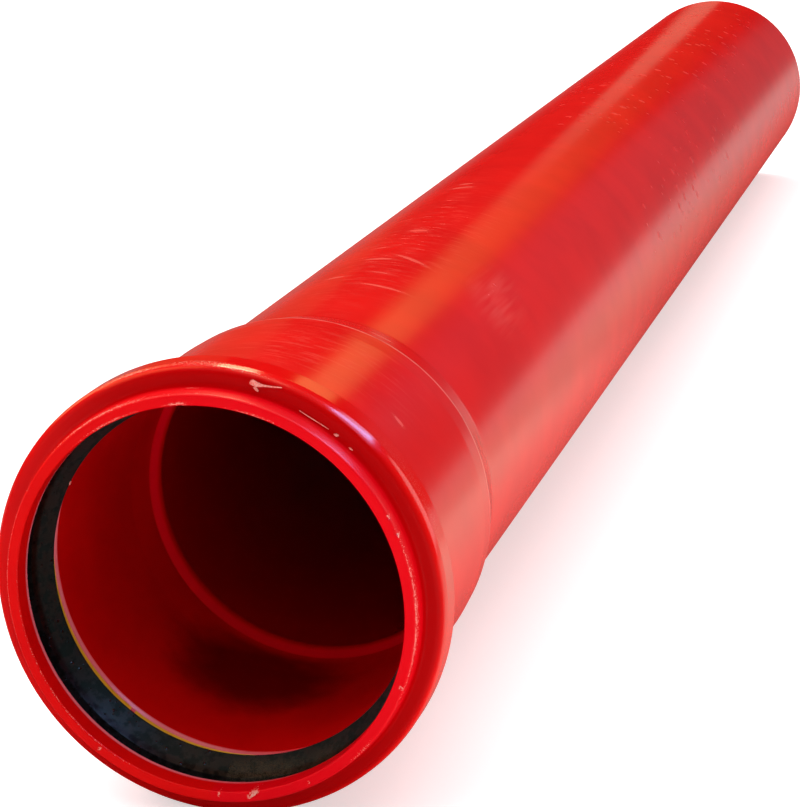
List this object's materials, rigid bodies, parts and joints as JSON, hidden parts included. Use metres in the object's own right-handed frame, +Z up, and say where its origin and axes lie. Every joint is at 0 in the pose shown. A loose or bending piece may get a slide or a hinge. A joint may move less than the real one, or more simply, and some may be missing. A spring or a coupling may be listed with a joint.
{
  "type": "cable conduit pipe",
  "caption": "Rigid plastic cable conduit pipe with a formed socket, a rubber lip seal and a split holding ring.",
  "frame": {"origin": "middle of the pipe's footprint, on the floor it lies on", "axes": "+Y along the pipe from the socket mouth to the plain end, +Z up, +X to the right seen from the mouth"},
  "size_m": [0.1303, 1.0011, 0.1305],
  "materials": {
    "red_plastic": "smooth extruded gloss",
    "black_rubber": "dull moulded",
    "yellow_plastic": "satin moulded"
  },
  "bodies": {
    "root": {"pipe": "red_plastic", "seal": "black_rubber", "holding_ring": "yellow_plastic"}
  },
  "joints": []
}
